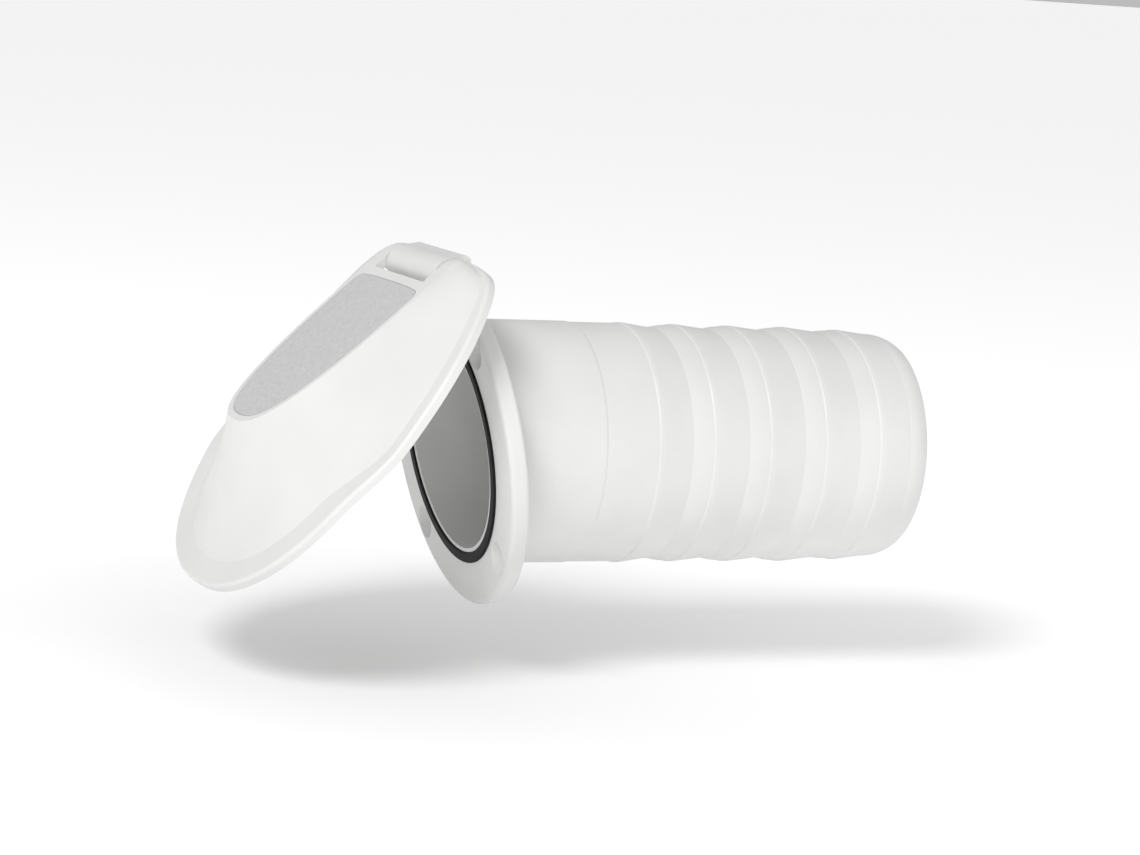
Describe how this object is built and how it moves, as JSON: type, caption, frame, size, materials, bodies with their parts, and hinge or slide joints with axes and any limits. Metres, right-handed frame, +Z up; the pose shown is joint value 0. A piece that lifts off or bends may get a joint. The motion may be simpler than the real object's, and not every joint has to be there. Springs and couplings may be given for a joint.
{
  "type": "thru hull fitting",
  "caption": "White plastic thru hull fitting: raked round flange with face seal, ribbed hose tail, and a domed lid hinged over the opening.",
  "frame": {"origin": "where the bore axis meets the back face of the flange, the face that lies on the hull", "axes": "+X along the bore, inboard towards the hose end; +Z up, towards the hinge; +Y to the left when looking inboard"},
  "size_m": [0.2355, 0.1384, 0.1134],
  "materials": {
    "fitting_plastic": "satin moulded",
    "lid_plastic": "satin moulded",
    "inlay_plastic": "fine matt texture",
    "seal_rubber": "smooth black",
    "stainless": "drawn",
    "washer_plastic": "plain"
  },
  "bodies": {
    "hull_fitting": {"fitting_body": "fitting_plastic", "face_seal": "seal_rubber", "hinge_pin": "stainless", "friction_washer_left": "washer_plastic", "friction_washer_right": "washer_plastic", "pin_clip_left": "stainless", "pin_clip_right": "stainless"},
    "lid": {"lid_cover": "lid_plastic", "lid_inlay": "inlay_plastic"}
  },
  "joints": [
    {"name": "lid_hinge", "type": "hinge", "parent": "hull_fitting", "child": "lid", "pos_m": [-0.01665, 0, 0.05418], "axis": [0, 1, 0], "range_deg": [-45.3, 55]}
  ]
}
